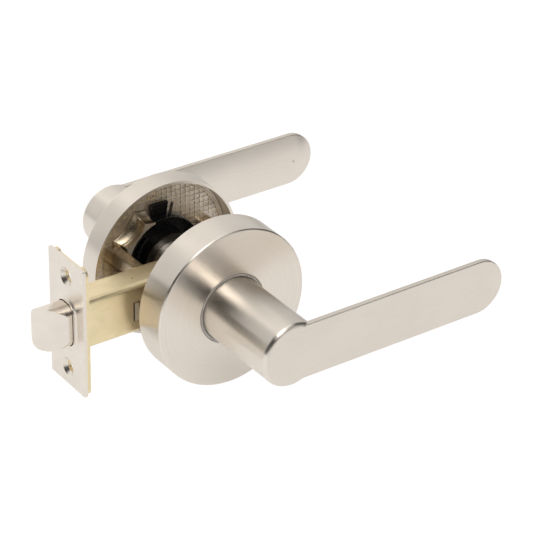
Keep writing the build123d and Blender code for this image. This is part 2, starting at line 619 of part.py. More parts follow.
coil_length = STOP_X - BOLT_BORE_END - COIL_WIRE
with BuildPart() as bolt_spring:
    with BuildLine():
        coil = Helix(
            pitch=COIL_PITCH, height=coil_length, radius=COIL_R,
            center=(BOLT_BORE_END + COIL_WIRE / 2, 0, 0), direction=(1, 0, 0),
        )
    with BuildSketch(Plane(origin=coil @ 0, z_dir=coil % 0)):
        Circle(COIL_WIRE / 2)
    sweep(path=coil, is_frenet=True)
bolt_spring.part.label = "bolt_spring"
export_step(bolt_spring.part, "parts/bolt_spring.step")

print(f"bolt travel {BOLT_TRAVEL:.4f} mm for a turn of {LEVER_TURN} degrees")
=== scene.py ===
"""Looks for a lever handle lockset: brushed satin nickel levers and roses, raw castings and blackened
spring cages inside them, a yellow zinc latch between them, and a soft pale studio."""

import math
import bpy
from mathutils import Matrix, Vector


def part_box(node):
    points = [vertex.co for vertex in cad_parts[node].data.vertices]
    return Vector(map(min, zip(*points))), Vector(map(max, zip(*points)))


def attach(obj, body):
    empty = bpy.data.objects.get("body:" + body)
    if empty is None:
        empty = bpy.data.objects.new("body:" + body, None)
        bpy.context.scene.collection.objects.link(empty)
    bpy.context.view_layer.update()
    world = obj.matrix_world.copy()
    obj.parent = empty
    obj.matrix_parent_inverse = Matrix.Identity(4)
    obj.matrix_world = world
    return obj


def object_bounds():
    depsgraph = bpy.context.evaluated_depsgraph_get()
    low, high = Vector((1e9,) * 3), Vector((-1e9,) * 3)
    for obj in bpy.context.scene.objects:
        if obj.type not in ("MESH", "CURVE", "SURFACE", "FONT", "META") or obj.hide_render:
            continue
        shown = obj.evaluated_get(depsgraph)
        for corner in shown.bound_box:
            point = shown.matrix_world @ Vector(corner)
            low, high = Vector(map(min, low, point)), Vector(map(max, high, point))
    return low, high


bl_info = {
    "name": "Lever Lockset Looks",
    "version": (1, 0, 0),
    "blender": (4, 5, 0),
    "location": "3D View > Sidebar > Lockset",
    "description": "Finishes, cast detail and a studio for a lever handle lockset",
    "category": "Object",
}

import bmesh
import bpy
from mathutils import Matrix, Vector

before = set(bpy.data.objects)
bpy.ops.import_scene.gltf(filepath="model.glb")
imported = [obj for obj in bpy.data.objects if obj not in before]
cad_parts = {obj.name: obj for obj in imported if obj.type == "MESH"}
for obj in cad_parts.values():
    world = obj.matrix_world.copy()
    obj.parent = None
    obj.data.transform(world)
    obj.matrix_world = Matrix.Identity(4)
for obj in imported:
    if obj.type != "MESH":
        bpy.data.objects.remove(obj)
cad_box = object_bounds()

MM = 0.001
HALVES = ("front", "rear")
FIXED = "lock_body"

# Satin nickel: its colour in a grain's dark and light lines and on its edges, brighter there for wear and as
# a painted highlight, and its roughness.
NICKEL_TONES, NICKEL_EDGE_WEAR_AND_HIGHLIGHT = (0.965, 1.02), 1.15
NICKEL_ROUGHNESS, NICKEL_STRETCH = (0.30, 0.33), 0.85

# Finishes that are not settings: edges made paler for wear and as a painted highlight, the oiled springs, and
# the stop's brighter plate.
ZINC_EDGE_WEAR_AND_HIGHLIGHT = (0.86, 0.80, 0.66)
BLACK_EDGE_WEAR_AND_HIGHLIGHT = (0.16, 0.155, 0.15)
OILED_WIRE = (0.10, 0.095, 0.09)
BRIGHT_YELLOW_ZINC = (0.95, 0.88, 0.72)

# The fluted wall round each spring cage: angles in degrees from +X, and its flutes' peaks and floors.
FLUTE_FIRST, FLUTE_STEP = 83.0, 35.0
FLUTE_PEAK, FLUTE_FLOOR = 21.0 * MM, 18.3 * MM

# The wall's flared foot: its ends in degrees, and its heights measured from the rose's rim.
SKIRT_ANGLES, SKIRT_STEPS = (106.3, 158.0), 72
SKIRT_TOP, SKIRT_FOOT = 3.6 * MM, 7.2 * MM
SKIRT_FLARE, SKIRT_CURVE, SKIRT_PARTS = 3.8 * MM, 1.7, 8
SKIRT_TUCK = 0.3 * MM               # how far it reaches into the wall

# What the grid of ribs keeps clear of: the cage, the casting's edge, the screws and the fluted wall.
CAGE_GAP, EDGE_GAP = 0.6 * MM, 2.2 * MM
SCREW_HEAD_R = 3.6 * MM
SCREW_GAP_X, SCREW_GAP_Z = 4.6 * MM, 10 * MM
WALL_REACH, WALL_FROM, WALL_TO = 25.5 * MM, 100, 164
GRID_SEARCH = 0.2 * MM              # how finely the clear stretches are looked for
CROSS_RISE = 0.97                   # ribs of the second way, against the first, so their tops don't clash

# Rings cast on the floor: the rim round the grid, and the two rings an ejector pin leaves.
CAST_RING_RISE = 0.45 * MM
RIM_RING_R, RIM_RING_HALF, RIM_RING_TOP = 31.4 * MM, 0.5 * MM, 0.25 * MM
PIN_RINGS, PIN_RING_HALF, PIN_RING_TOP = (1.5 * MM, 2.6 * MM), 0.3 * MM, 0.12 * MM
PIN_AT = (-2.1 * MM, 27.0 * MM)

# Rings turned on the end of a lever's bearing: inner radius, outer radius and rise, in millimetres.
SEAT_RINGS = ((5.6, 8.3, 0.06),)
BRIGHT_RINGS = ((8.3, 8.9, 0.12), (5.0, 5.6, 0.12))
RING_TUCK = 0.3                     # how far they reach into the bearing, in millimetres

# The studio: a dim room with soft panels. Each panel has its azimuth from the front and its elevation,
# the inner and outer angle of its soft edge, all in degrees, and its strength.
ROOM_LIGHT, ROOM_TINT = 0.02, (1.0, 0.985, 0.965)
STUDIO_PANELS = (
    ((0, 90), 18, 40, 1.25),
    ((-18, 45), 8, 15, 2.0),
    ((-20, 62), 10, 20, 2.9),
    ((35, 16), 8, 24, 0.6),
    ((180, 18), 30, 64, 0.2),
    ((-150, 20), 20, 40, 0.75),
    ((150, 20), 20, 40, 0.75),
)

# The floor: half its width in metres, its glow, and the glow's share, larger where the eye sees it.
FLOOR_REACH = 6.0
FLOOR_GLOW, GLOW_SHARE, SEEN_SHARE = 1.14, 0.55, 0.31


# ---- sizes and colours that a user would change -------------------------------------------------


class LocksetFinishes(bpy.types.PropertyGroup):
    """Colours and grain of the lockset's metals."""

    nickel: bpy.props.FloatVectorProperty(
        name="Nickel", description="Colour of the satin nickel plate",
        default=(0.84, 0.775, 0.695), subtype="COLOR", min=0, max=1,
    )
    yellow_zinc: bpy.props.FloatVectorProperty(
        name="Yellow zinc", description="Colour of the latch's yellow zinc plate",
        default=(0.90, 0.755, 0.50), subtype="COLOR", min=0, max=1,
    )
    casting: bpy.props.FloatVectorProperty(
        name="Casting", description="Colour of the unplated zinc castings",
        default=(0.66, 0.55, 0.40), subtype="COLOR", min=0, max=1,
    )
    cast_floor: bpy.props.FloatVectorProperty(
        name="Cast floor", description="Colour of the castings' paler floors",
        default=(0.80, 0.73, 0.65), subtype="COLOR", min=0, max=1,
    )
    black: bpy.props.FloatVectorProperty(
        name="Black", description="Colour of the blackened steel",
        default=(0.004, 0.004, 0.0045), subtype="COLOR", min=0, max=1,
    )
    steel: bpy.props.FloatVectorProperty(
        name="Steel", description="Colour of the bright zinc-plated steel",
        default=(0.62, 0.61, 0.60), subtype="COLOR", min=0, max=1,
    )
    nylon: bpy.props.FloatVectorProperty(
        name="Nylon", description="Colour of the bushes round the necks",
        default=(0.50, 0.47, 0.43), subtype="COLOR", min=0, max=1,
    )
    grain_pitch: bpy.props.FloatProperty(
        name="Grain pitch", description="Distance between the brushed lines",
        default=0.2 * MM, min=0.05 * MM, unit="LENGTH",
    )
    grain_depth: bpy.props.FloatProperty(
        name="Grain depth", description="Depth of the brushed lines",
        default=0.002 * MM, min=0, unit="LENGTH",
    )


class LocksetCastings(bpy.types.PropertyGroup):
    """Raised detail of the two castings under the roses."""

    grid_pitch: bpy.props.FloatProperty(
        name="Grid pitch", description="Distance between the ribs of the grid on a casting's floor",
        default=2.3 * MM, min=1 * MM, unit="LENGTH",
    )
    grid_width: bpy.props.FloatProperty(
        name="Rib width", description="Width of each rib", default=0.5 * MM, min=0.1 * MM, unit="LENGTH",
    )
    grid_height: bpy.props.FloatProperty(
        name="Rib height", description="Height of each rib", default=0.3 * MM, min=0.05 * MM, unit="LENGTH",
    )


class LocksetStudio(bpy.types.PropertyGroup):
    """Camera and floor."""

    azimuth: bpy.props.FloatProperty(
        name="Azimuth", description="Camera's direction round the lockset from the front",
        default=math.radians(-35.83), subtype="ANGLE",
    )
    elevation: bpy.props.FloatProperty(
        name="Elevation", description="Camera's height above the level", default=math.radians(30.51),
        subtype="ANGLE",
    )
    roll: bpy.props.FloatProperty(
        name="Roll", description="Camera's tilt about its own line of sight", default=math.radians(1.33),
        subtype="ANGLE",
    )
    distance: bpy.props.FloatProperty(
        name="Distance", description="From the spindle's middle to the camera", default=0.956, unit="LENGTH",
    )
    lens: bpy.props.FloatProperty(
        name="Lens", description="Focal length in millimetres", default=160.0, min=20,
        subtype="DISTANCE_CAMERA",
    )
    aim_right: bpy.props.FloatProperty(
        name="Aim right", description="How far right of the spindle the camera aims", default=28.98 * MM,
        unit="LENGTH",
    )
    aim_up: bpy.props.FloatProperty(
        name="Aim up", description="How far above the spindle the camera aims", default=5.10 * MM,
        unit="LENGTH",
    )
    floor: bpy.props.FloatVectorProperty(
        name="Floor", description="Colour of the floor", default=(0.86, 0.86, 0.86), subtype="COLOR",
        min=0, max=1,
    )


# ---- nodes --------------------------------------------------------------------------------------


def node(tree, kind, inputs=None, **settings):
    """Adds a node, with its settings and its inputs, each a value or a socket to link."""
    made = tree.nodes.new(kind)
    for name, value in settings.items():
        setattr(made, name, value)
    for name, value in (inputs or {}).items():
        if isinstance(value, bpy.types.NodeSocket):
            tree.links.new(value, made.inputs[name])
        else:
            made.inputs[name].default_value = value
    return made


def maths(tree, operation, *values, clamp=False):
    """A Math node's result."""
    inputs = dict(enumerate(values))
    return node(tree, "ShaderNodeMath", inputs, operation=operation, use_clamp=clamp).outputs[0]


def vector_maths(tree, operation, *values):
    """A Vector Math node's result."""
    made = node(tree, "ShaderNodeVectorMath", dict(enumerate(values)), operation=operation)
    return made.outputs["Value" if operation in ("DOT_PRODUCT", "LENGTH") else "Vector"]


def spread(tree, value, low, high, to_low=0.0, to_high=1.0):
    """A value's stretch from low to high, mapped smoothly."""
    inputs = {"Value": value, "From Min": low, "From Max": high, "To Min": to_low, "To Max": to_high}
    return node(tree, "ShaderNodeMapRange", inputs, interpolation_type="SMOOTHSTEP").outputs["Result"]


def mixed(tree, factor, first, second, blend="MIX"):
    """A mix of two colours."""
    made = node(tree, "ShaderNodeMix", data_type="RGBA", blend_type=blend)
    for index, value in ((0, factor), (6, first), (7, second)):
        if isinstance(value, bpy.types.NodeSocket):
            tree.links.new(value, made.inputs[index])
        else:
            made.inputs[index].default_value = value
    return made.outputs[2]


def new_group(name, inputs, outputs):
    """An empty shader group with number inputs, except "Vector", and number outputs."""
    tree = bpy.data.node_groups.new(name, "ShaderNodeTree")
    for label, value in inputs.items():
        kind = "NodeSocketVector" if label == "Vector" else "NodeSocketFloat"
        socket = tree.interface.new_socket(label, in_out="INPUT", socket_type=kind)
        if kind == "NodeSocketFloat":
            socket.default_value = value
    for label in outputs:
        tree.interface.new_socket(label, in_out="OUTPUT", socket_type="NodeSocketFloat")
    return tree, node(tree, "NodeGroupInput").outputs, node(tree, "NodeGroupOutput").inputs


def in_sizes(tree, given):
    """A group's coordinates, counted in its Size."""
    size = node(tree, "ShaderNodeCombineXYZ", {axis: given["Size"] for axis in "XYZ"}).outputs[0]
    return vector_maths(tree, "DIVIDE", given["Vector"], size)


def in_pitches(tree, given, value):
    """A length, counted in a grain's Pitch."""
    return maths(tree, "DIVIDE", value, given["Pitch"])


def put_out_grain(tree, wanted, inputs, **settings):
    """Puts out fine noise as a grain's height and tone."""
    inputs = {**inputs, "Scale": 0.6, "Detail": 4.0, "Roughness": 0.65}
    fine = node(tree, "ShaderNodeTexNoise", inputs, **settings).outputs["Fac"]
    tree.links.new(fine, wanted["Height"])
    tree.links.new(spread(tree, fine, 0.3, 0.7), wanted["Tone"])


def turned_grain():
    """Group: fine lines that run round the Y axis, as a spinning brush leaves them."""
    tree, given, wanted = new_group("Turned grain", {"Vector": None, "Pitch": 0.0003, "Streak": 3.0},
                                    ("Height", "Tone"))
    place = node(tree, "ShaderNodeSeparateXYZ", {0: given["Vector"]}).outputs
    radius = maths(tree, "SQRT", maths(tree, "ADD", maths(tree, "MULTIPLY", place["X"], place["X"]),
                                       maths(tree, "MULTIPLY", place["Z"], place["Z"])))
    safe = maths(tree, "MAXIMUM", radius, 1e-5)
    round_x = maths(tree, "MULTIPLY", maths(tree, "DIVIDE", place["X"], safe), given["Streak"])
    round_z = maths(tree, "MULTIPLY", maths(tree, "DIVIDE", place["Z"], safe), given["Streak"])
    across = node(tree, "ShaderNodeCombineXYZ", {
        "X": in_pitches(tree, given, radius), "Y": in_pitches(tree, given, place["Y"]), "Z": round_x,
    }).outputs[0]
    put_out_grain(tree, wanted, {"Vector": across, "W": round_z}, noise_dimensions="4D")
    return tree


def drawn_grain():
    """Group: fine lines that run along X, as a belt leaves them."""
    tree, given, wanted = new_group("Drawn grain", {"Vector": None, "Pitch": 0.0003, "Streak": 0.03},
                                    ("Height", "Tone"))
    place = node(tree, "ShaderNodeSeparateXYZ", {0: given["Vector"]}).outputs
    drift = node(tree, "ShaderNodeTexNoise", {"Vector": given["Vector"], "Scale": 25.0,
                                              "Detail": 1.0}).outputs["Fac"]
    swayed = maths(tree, "MULTIPLY_ADD", drift, 0.004, place["Z"])
    along = maths(tree, "MULTIPLY", in_pitches(tree, given, place["X"]), given["Streak"])
    across = node(tree, "ShaderNodeCombineXYZ", {
        "X": along, "Y": in_pitches(tree, given, place["Y"]), "Z": in_pitches(tree, given, swayed),
    }).outputs[0]
    put_out_grain(tree, wanted, {"Vector": across})
    return tree


def edge_wear_and_highlight():
    """Group: a mask that is high along sharp edges, broken up as by handling; it marks wear and a painted
    edge highlight.
    """
    tree, given, wanted = new_group("Edge wear and highlight", {"Vector": None, "Width": 0.0004, "Break": 900.0}, ("Mask",))
    rounded = node(tree, "ShaderNodeBevel", {"Radius": given["Width"]}, samples=4).outputs["Normal"]
    flat = node(tree, "ShaderNodeNewGeometry").outputs["Normal"]
    turned = maths(tree, "SUBTRACT", 1.0, vector_maths(tree, "DOT_PRODUCT", rounded, flat))
    edge = spread(tree, turned, 0.01, 0.18)
    broken = node(tree, "ShaderNodeTexNoise", {"Vector": given["Vector"], "Scale": given["Break"],
                                               "Detail": 2.0}).outputs["Fac"]
    tree.links.new(maths(tree, "MULTIPLY", edge, spread(tree, broken, 0.35, 0.6, 0.35, 1.0)), wanted["Mask"])
    return tree


def smudges():
    """Group: soft cloudy variation, as of handling and of plating."""
    tree, given, wanted = new_group("Smudges", {"Vector": None, "Size": 0.012}, ("Cloud", "Speck"))
    scaled = in_sizes(tree, given)
    cloud = node(tree, "ShaderNodeTexNoise", {"Vector": scaled, "Scale": 1.0, "Detail": 3.0,
                                              "Distortion": 0.6}).outputs["Fac"]
    speck = node(tree, "ShaderNodeTexNoise", {"Vector": scaled, "Scale": 14.0, "Detail": 3.0}).outputs["Fac"]
    tree.links.new(spread(tree, cloud, 0.3, 0.7), wanted["Cloud"])
    tree.links.new(spread(tree, speck, 0.35, 0.65), wanted["Speck"])
    return tree


def cast_skin():
    """Group: the pebbled skin of a die casting."""
    tree, given, wanted = new_group("Cast skin", {"Vector": None, "Size": 0.0007}, ("Height", "Tone"))
    scaled = in_sizes(tree, given)
    pebble = node(tree, "ShaderNodeTexVoronoi", {"Vector": scaled, "Scale": 0.8}).outputs["Distance"]
    grit = node(tree, "ShaderNodeTexNoise", {"Vector": scaled, "Scale": 0.9, "Detail": 4.0}).outputs["Fac"]
    stain = node(tree, "ShaderNodeTexNoise", {"Vector": scaled, "Scale": 0.12, "Detail": 3.0}).outputs["Fac"]
    tree.links.new(maths(tree, "MULTIPLY_ADD", pebble, 0.4, grit), wanted["Height"])
    tree.links.new(spread(tree, maths(tree, "MULTIPLY_ADD", grit, 0.4, stain), 0.45, 0.95), wanted["Tone"])
    return tree


GROUPS = {}


def placed(tree, build, **values):
    """A shared group's node in a material, with that material's own values."""
    if build not in GROUPS:
        GROUPS[build] = build()
    made = node(tree, "ShaderNodeGroup", node_tree=GROUPS[build])
    for name, value in values.items():
        socket = made.inputs[name.capitalize()]
        if isinstance(value, bpy.types.NodeSocket):
            tree.links.new(value, socket)
        else:
            socket.default_value = value
    return made.outputs


# ---- materials ----------------------------------------------------------------------------------


def rgba(colour, light=1.0):
    """A colour with an alpha, made lighter or darker."""
    return tuple(min(1.0, channel * light) for channel in colour[:3]) + (1.0,)


def new_material(name):
    """A material with an empty tree, its Principled shader, and the object's own coordinates."""
    material = bpy.data.materials.new(name)
    material.use_nodes = True
    tree = material.node_tree
    tree.nodes.clear()
    shader = node(tree, "ShaderNodeBsdfPrincipled")
    node(tree, "ShaderNodeOutputMaterial", {"Surface": shader.outputs[0]})
    return material, tree, shader, node(tree, "ShaderNodeTexCoord").outputs["Object"]


def set_values(shader, **values):
    """Constant values on the shader's own sockets."""
    for name, value in values.items():
        shader.inputs[name.replace("_", " ")].default_value = value


def connect(tree, shader, colour, roughness, height, depth):
    """Links a shader's colour, roughness and bump."""
    tree.links.new(colour, shader.inputs["Base Color"])
    tree.links.new(roughness, shader.inputs["Roughness"])
    bump = node(tree, "ShaderNodeBump", {"Height": height, "Distance": depth, "Strength": 1.0})
    tree.links.new(bump.outputs[0], shader.inputs["Normal"])


def across_grain(tree, shader, grain):
    """Turns the shader's stretched highlight across the grain, whose direction is given in the object."""
    world = node(tree, "ShaderNodeVectorTransform", {0: grain}, vector_type="VECTOR", convert_from="OBJECT",
                 convert_to="WORLD").outputs[0]
    normal = node(tree, "ShaderNodeNewGeometry").outputs["Normal"]
    tree.links.new(vector_maths(tree, "CROSS_PRODUCT", normal, world), shader.inputs["Tangent"])


def round_the_axis(tree, place):
    """The direction round the Y axis at a point."""
    split = node(tree, "ShaderNodeSeparateXYZ", {0: place}).outputs
    return node(tree, "ShaderNodeCombineXYZ", {
        "X": split["Z"], "Z": maths(tree, "MULTIPLY", split["X"], -1.0)}).outputs[0]


def with_edge_wear_and_highlight(tree, place, colour, bright, width, share):
    """A colour that turns brighter along its edges, for wear and as a painted highlight."""
    wear_and_highlight_mask = placed(tree, edge_wear_and_highlight, vector=place, width=width)["Mask"]
    return mixed(tree, maths(tree, "MULTIPLY", wear_and_highlight_mask, share), colour, bright)


def finish_nickel(tree, shader, place, tone, height, cloudy):
    """Colour, roughness and grain of satin nickel, from a grain's tone and height."""
    looks = bpy.context.scene.lockset_finishes
    dark, light = NICKEL_TONES
    colour = mixed(tree, tone, rgba(looks.nickel, dark), rgba(looks.nickel, light))
    # Brighter edges: wear and a painted highlight.
    colour = with_edge_wear_and_highlight(tree, place, colour, rgba(looks.nickel, NICKEL_EDGE_WEAR_AND_HIGHLIGHT), 0.5 * MM, 0.5)
    roughness = maths(tree, "ADD", spread(tree, tone, 0, 1, *NICKEL_ROUGHNESS), cloudy)
    connect(tree, shader, colour, roughness, height, looks.grain_depth)


def turned_nickel():
    """Satin nickel of the roses, brushed round the spindle."""
    looks = bpy.context.scene.lockset_finishes
    material, tree, shader, place = new_material("turned_satin_nickel")
    set_values(shader, Metallic=1.0, Anisotropic=NICKEL_STRETCH)
    grain = placed(tree, turned_grain, vector=place, pitch=looks.grain_pitch, streak=2.2)
    cloud = placed(tree, smudges, vector=place, size=0.02)
    finish_nickel(tree, shader, place, grain["Tone"], grain["Height"],
                  maths(tree, "MULTIPLY", cloud["Cloud"], 0.03))
    across_grain(tree, shader, round_the_axis(tree, place))
    return material


def lever_nickel():
    """Satin nickel of a lever: its neck is brushed round the spindle, and its blade along its length."""
    looks = bpy.context.scene.lockset_finishes
    material, tree, shader, place = new_material("lever_satin_nickel")
    set_values(shader, Metallic=1.0, Anisotropic=NICKEL_STRETCH)
    split = node(tree, "ShaderNodeSeparateXYZ", {0: place}).outputs
    level = node(tree, "ShaderNodeCombineXYZ", {"X": split["X"], "Z": split["Z"]}).outputs[0]
    radius = vector_maths(tree, "LENGTH", level)
    normal = node(tree, "ShaderNodeNewGeometry").outputs["Normal"]
    facing = node(tree, "ShaderNodeVectorTransform", {0: normal}, vector_type="NORMAL", convert_from="WORLD",
                  convert_to="OBJECT").outputs[0]
    endwise = maths(tree, "ABSOLUTE", node(tree, "ShaderNodeSeparateXYZ", {0: facing}).outputs["Y"])
    neck_radius = -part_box("front_lever")[0].x
    on_neck = maths(tree, "MULTIPLY", maths(tree, "LESS_THAN", radius, neck_radius + 0.03 * MM),
                    maths(tree, "LESS_THAN", endwise, 0.9))
    turned = placed(tree, turned_grain, vector=place, pitch=looks.grain_pitch, streak=2.0)
    drawn = placed(tree, drawn_grain, vector=place, pitch=looks.grain_pitch, streak=0.025)
    cloud = placed(tree, smudges, vector=place, size=0.025)

    def chosen(output):
        return node(tree, "ShaderNodeMix", {0: on_neck, 2: drawn[output], 3: turned[output]}).outputs[0]

    finish_nickel(tree, shader, place, chosen("Tone"), chosen("Height"),
                  maths(tree, "MULTIPLY", cloud["Cloud"], 0.04))
    grain_way = node(tree, "ShaderNodeMix", {0: on_neck, 4: (1.0, 0.0, 0.0), 5: round_the_axis(tree, place)},
                     data_type="VECTOR")
    across_grain(tree, shader, grain_way.outputs[1])
    return material


def satin_plate(name, colour, roughness, speck=0.02, cloudy=0.05, bump=0.0012 * MM, wear_and_highlight=1.2):
    """A plated piece with no brushing: faint specks and clouds, and brighter edges, for wear and as a painted
    highlight.
    """
    material, tree, shader, place = new_material(name)
    set_values(shader, Metallic=1.0)
    cloud = placed(tree, smudges, vector=place, size=0.008)
    shade = maths(tree, "ADD", maths(tree, "MULTIPLY", cloud["Cloud"], 0.7),
                  maths(tree, "MULTIPLY", cloud["Speck"], 0.3))
    tint = mixed(tree, shade, rgba(colour, 1.0 - cloudy), rgba(colour, 1.0 + cloudy / 2))
    tint = with_edge_wear_and_highlight(tree, place, tint, rgba(colour, wear_and_highlight), 0.35 * MM, 0.6)
    rough = spread(tree, cloud["Speck"], 0, 1, roughness - speck, roughness + speck)
    connect(tree, shader, tint, rough, cloud["Speck"], bump)
    return material


def zinc_plate():
    """Yellow zinc of the latch: drawn sheet under a faintly uneven yellow passivate."""
    looks = bpy.context.scene.lockset_finishes
    material, tree, shader, place = new_material("yellow_zinc_plate")
    set_values(shader, Metallic=1.0, Anisotropic=0.3)
    grain = placed(tree, drawn_grain, vector=place, pitch=0.5 * MM, streak=0.05)
    cloud = placed(tree, smudges, vector=place, size=0.009)
    greener = tuple(channel * part for channel, part in zip(looks.yellow_zinc, (0.93, 0.95, 0.88)))
    tint = mixed(tree, cloud["Cloud"], rgba(greener), rgba(looks.yellow_zinc, 1.05))
    tint = mixed(tree, maths(tree, "MULTIPLY", grain["Tone"], 0.35), tint, rgba(looks.yellow_zinc, 0.9))
    # Paler edges: wear and a painted highlight.
    tint = with_edge_wear_and_highlight(tree, place, tint, rgba(ZINC_EDGE_WEAR_AND_HIGHLIGHT), 0.4 * MM, 0.7)
    rough = spread(tree, cloud["Speck"], 0, 1, 0.34, 0.38)
    connect(tree, shader, tint, rough, grain["Height"], 0.0008 * MM)
    across_grain(tree, shader, node(tree, "ShaderNodeCombineXYZ", {"X": 1.0}).outputs[0])
    return material


def casting(name, light):
    """Unplated zinc casting: pebbled and stained, paler on its floors, and bright along its edges, for wear
    and as a painted highlight.
    """
    looks = bpy.context.scene.lockset_finishes
    material, tree, shader, place = new_material(name)
    set_values(shader, Metallic=1.0)
    skin = placed(tree, cast_skin, vector=place, size=0.8 * MM)
    facing = node(tree, "ShaderNodeSeparateXYZ", {
        0: node(tree, "ShaderNodeNewGeometry").outputs["True Normal"]}).outputs["Y"]
    flat = spread(tree, maths(tree, "ABSOLUTE", facing), 0.9, 0.99)
    stained = mixed(tree, skin["Tone"], rgba(looks.casting, 0.68 * light), rgba(looks.casting, 1.08 * light))
    tint = mixed(tree, flat, stained, mixed(tree, skin["Tone"], rgba(looks.cast_floor, 0.85 * light),
                                            rgba(looks.cast_floor, light)))
    tint = with_edge_wear_and_highlight(tree, place, tint, rgba(looks.casting, 1.6), 0.5 * MM, 0.8)
    rough = maths(tree, "MULTIPLY_ADD", flat, 0.22, spread(tree, skin["Tone"], 0, 1, 0.36, 0.24))
    connect(tree, shader, tint, rough, skin["Height"], 0.012 * MM)
    return material


def blackened_steel():
    """Blackened pressed steel, with a dull shine and greyer edges, for wear and as a painted highlight."""
    looks = bpy.context.scene.lockset_finishes
    material, tree, shader, place = new_material("blackened_steel")
    set_values(shader, Specular_IOR_Level=0.16)
    cloud = placed(tree, smudges, vector=place, size=0.006)
    tint = mixed(tree, cloud["Cloud"], rgba(looks.black), rgba(looks.black, 1.8))
    tint = with_edge_wear_and_highlight(tree, place, tint, rgba(BLACK_EDGE_WEAR_AND_HIGHLIGHT), 0.4 * MM, 0.7)
    rough = spread(tree, cloud["Speck"], 0, 1, 0.2, 0.3)
    connect(tree, shader, tint, rough, cloud["Speck"], 0.003 * MM)
    return material


def moulded_nylon():
    """Nylon of the bushes round the necks."""
    looks = bpy.context.scene.lockset_finishes
    material, tree, shader, place = new_material("moulded_nylon")
    set_values(shader, IOR=1.53)
    cloud = placed(tree, smudges, vector=place, size=0.004)
    tint = mixed(tree, cloud["Cloud"], rgba(looks.nylon, 0.85), rgba(looks.nylon, 1.15))
    rough = spread(tree, cloud["Speck"], 0, 1, 0.45, 0.6)
    connect(tree, shader, tint, rough, cloud["Speck"], 0.008 * MM)
    return material


def dress(nodes, material):
    """Gives CAD nodes a finish."""
    for name in nodes:
        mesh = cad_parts[name].data
        if not mesh.materials:
            mesh.materials.append(material)
        for index in range(len(mesh.materials)):
            mesh.materials[index] = material


# ---- meshes -------------------------------------------------------------------------------------


def add_piece(name, made, material, body):
    """Links a finished bmesh as a piece that rides on a body."""
    bmesh.ops.recalc_face_normals(made, faces=made.faces)
    mesh = bpy.data.meshes.new(name)
    made.to_mesh(mesh)
    made.free()
    mesh.materials.append(material)
    piece = bpy.data.objects.new(name, mesh)
    bpy.context.scene.collection.objects.link(piece)
    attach(piece, body)


def runs(low, high, step, is_clear):
    """The stretches from low to high on which is_clear holds."""
    count = max(1, round((high - low) / step))
    spots = [low + (high - low) * (index + 0.5) / count for index in range(count)]
    found, start = [], None
    for index, spot in enumerate(spots + [None]):
        clear = spot is not None and is_clear(spot)
        if clear and start is None:
            start = low + (high - low) * index / count
        if not clear and start is not None:
            found.append((start, low + (high - low) * index / count))
            start = None
    return found


def add_ridge(made, start, end, width, foot, top):
    """A rib from start to end across the floor, points (x, z), with a narrower flat top."""
    along = (Vector(end) - Vector(start)).normalized()
    side = Vector((-along.y, along.x))
    rings = []
    for depth, half, trim in ((foot, width / 2, 0.0), (top, width / 3.2, width / 5)):
        corners = []
        for point, way in ((Vector(start), 1), (Vector(end), -1)):
            moved = point + along * trim * way
            for hand in (1, -1):
                place = moved + side * half * hand * way
                corners.append(made.verts.new((place.x, depth, place.y)))
        rings.append(corners)
    for index in range(4):
        after = (index + 1) % 4
        made.faces.new((rings[0][index], rings[0][after], rings[1][after], rings[1][index]))
    made.faces.new(rings[1])
    made.faces.new(reversed(rings[0]))


def add_lathe(made, profile, centre, steps=48):
    """A ring turned from a closed profile of (radius, depth) about the line through centre along Y."""
    rings = []
    for index in range(steps):
        angle = 2 * math.pi * index / steps
        rings.append([made.verts.new((centre[0] + radius * math.cos(angle), depth,
                                      centre[1] + radius * math.sin(angle))) for radius, depth in profile])
    for index in range(steps):
        first, second = rings[index], rings[(index + 1) % steps]
        for corner in range(len(profile)):
            after = (corner + 1) % len(profile)
            made.faces.new((first[corner], first[after], second[after], second[corner]))


def cast_ring(radius, half_foot, half_top, foot, top):
    """A ring's profile for add_lathe: a low ridge, narrower at its top."""
    return [(radius - half_foot, foot), (radius + half_foot, foot), (radius + half_top, top),
            (radius - half_top, top)]


def flute_radius(angle):
    """The fluted wall's radius at an angle in degrees."""
    off = math.radians((angle - FLUTE_FIRST) % FLUTE_STEP - FLUTE_STEP / 2)
    half = math.radians(FLUTE_STEP / 2)
    centre = (FLUTE_PEAK ** 2 - FLUTE_FLOOR ** 2) / (2 * (FLUTE_PEAK * math.cos(half) - FLUTE_FLOOR))
    round_it = centre - FLUTE_FLOOR
    return centre * math.cos(off) - math.sqrt(max(0.0, round_it ** 2 - (centre * math.sin(off)) ** 2))


def direction(azimuth, elevation):
    """The direction towards an azimuth and an elevation in degrees."""
    turn, rise = math.radians(azimuth), math.radians(elevation)
    return (math.sin(turn) * math.cos(rise), -math.cos(turn) * math.cos(rise), math.sin(rise))


# ---- operators ----------------------------------------------------------------------------------


class OBJECT_OT_lockset_nickel(bpy.types.Operator):
    """Brushed satin nickel on the roses and the levers"""

    bl_idname = "object.lockset_nickel"
    bl_label = "Roses and Levers"

    def execute(self, context):
        dress([f"{half}_rose" for half in HALVES], turned_nickel())
        dress([f"{half}_lever" for half in HALVES], lever_nickel())
        dress([f"{half}_neck_bush" for half in HALVES], moulded_nylon())
        return {"FINISHED"}


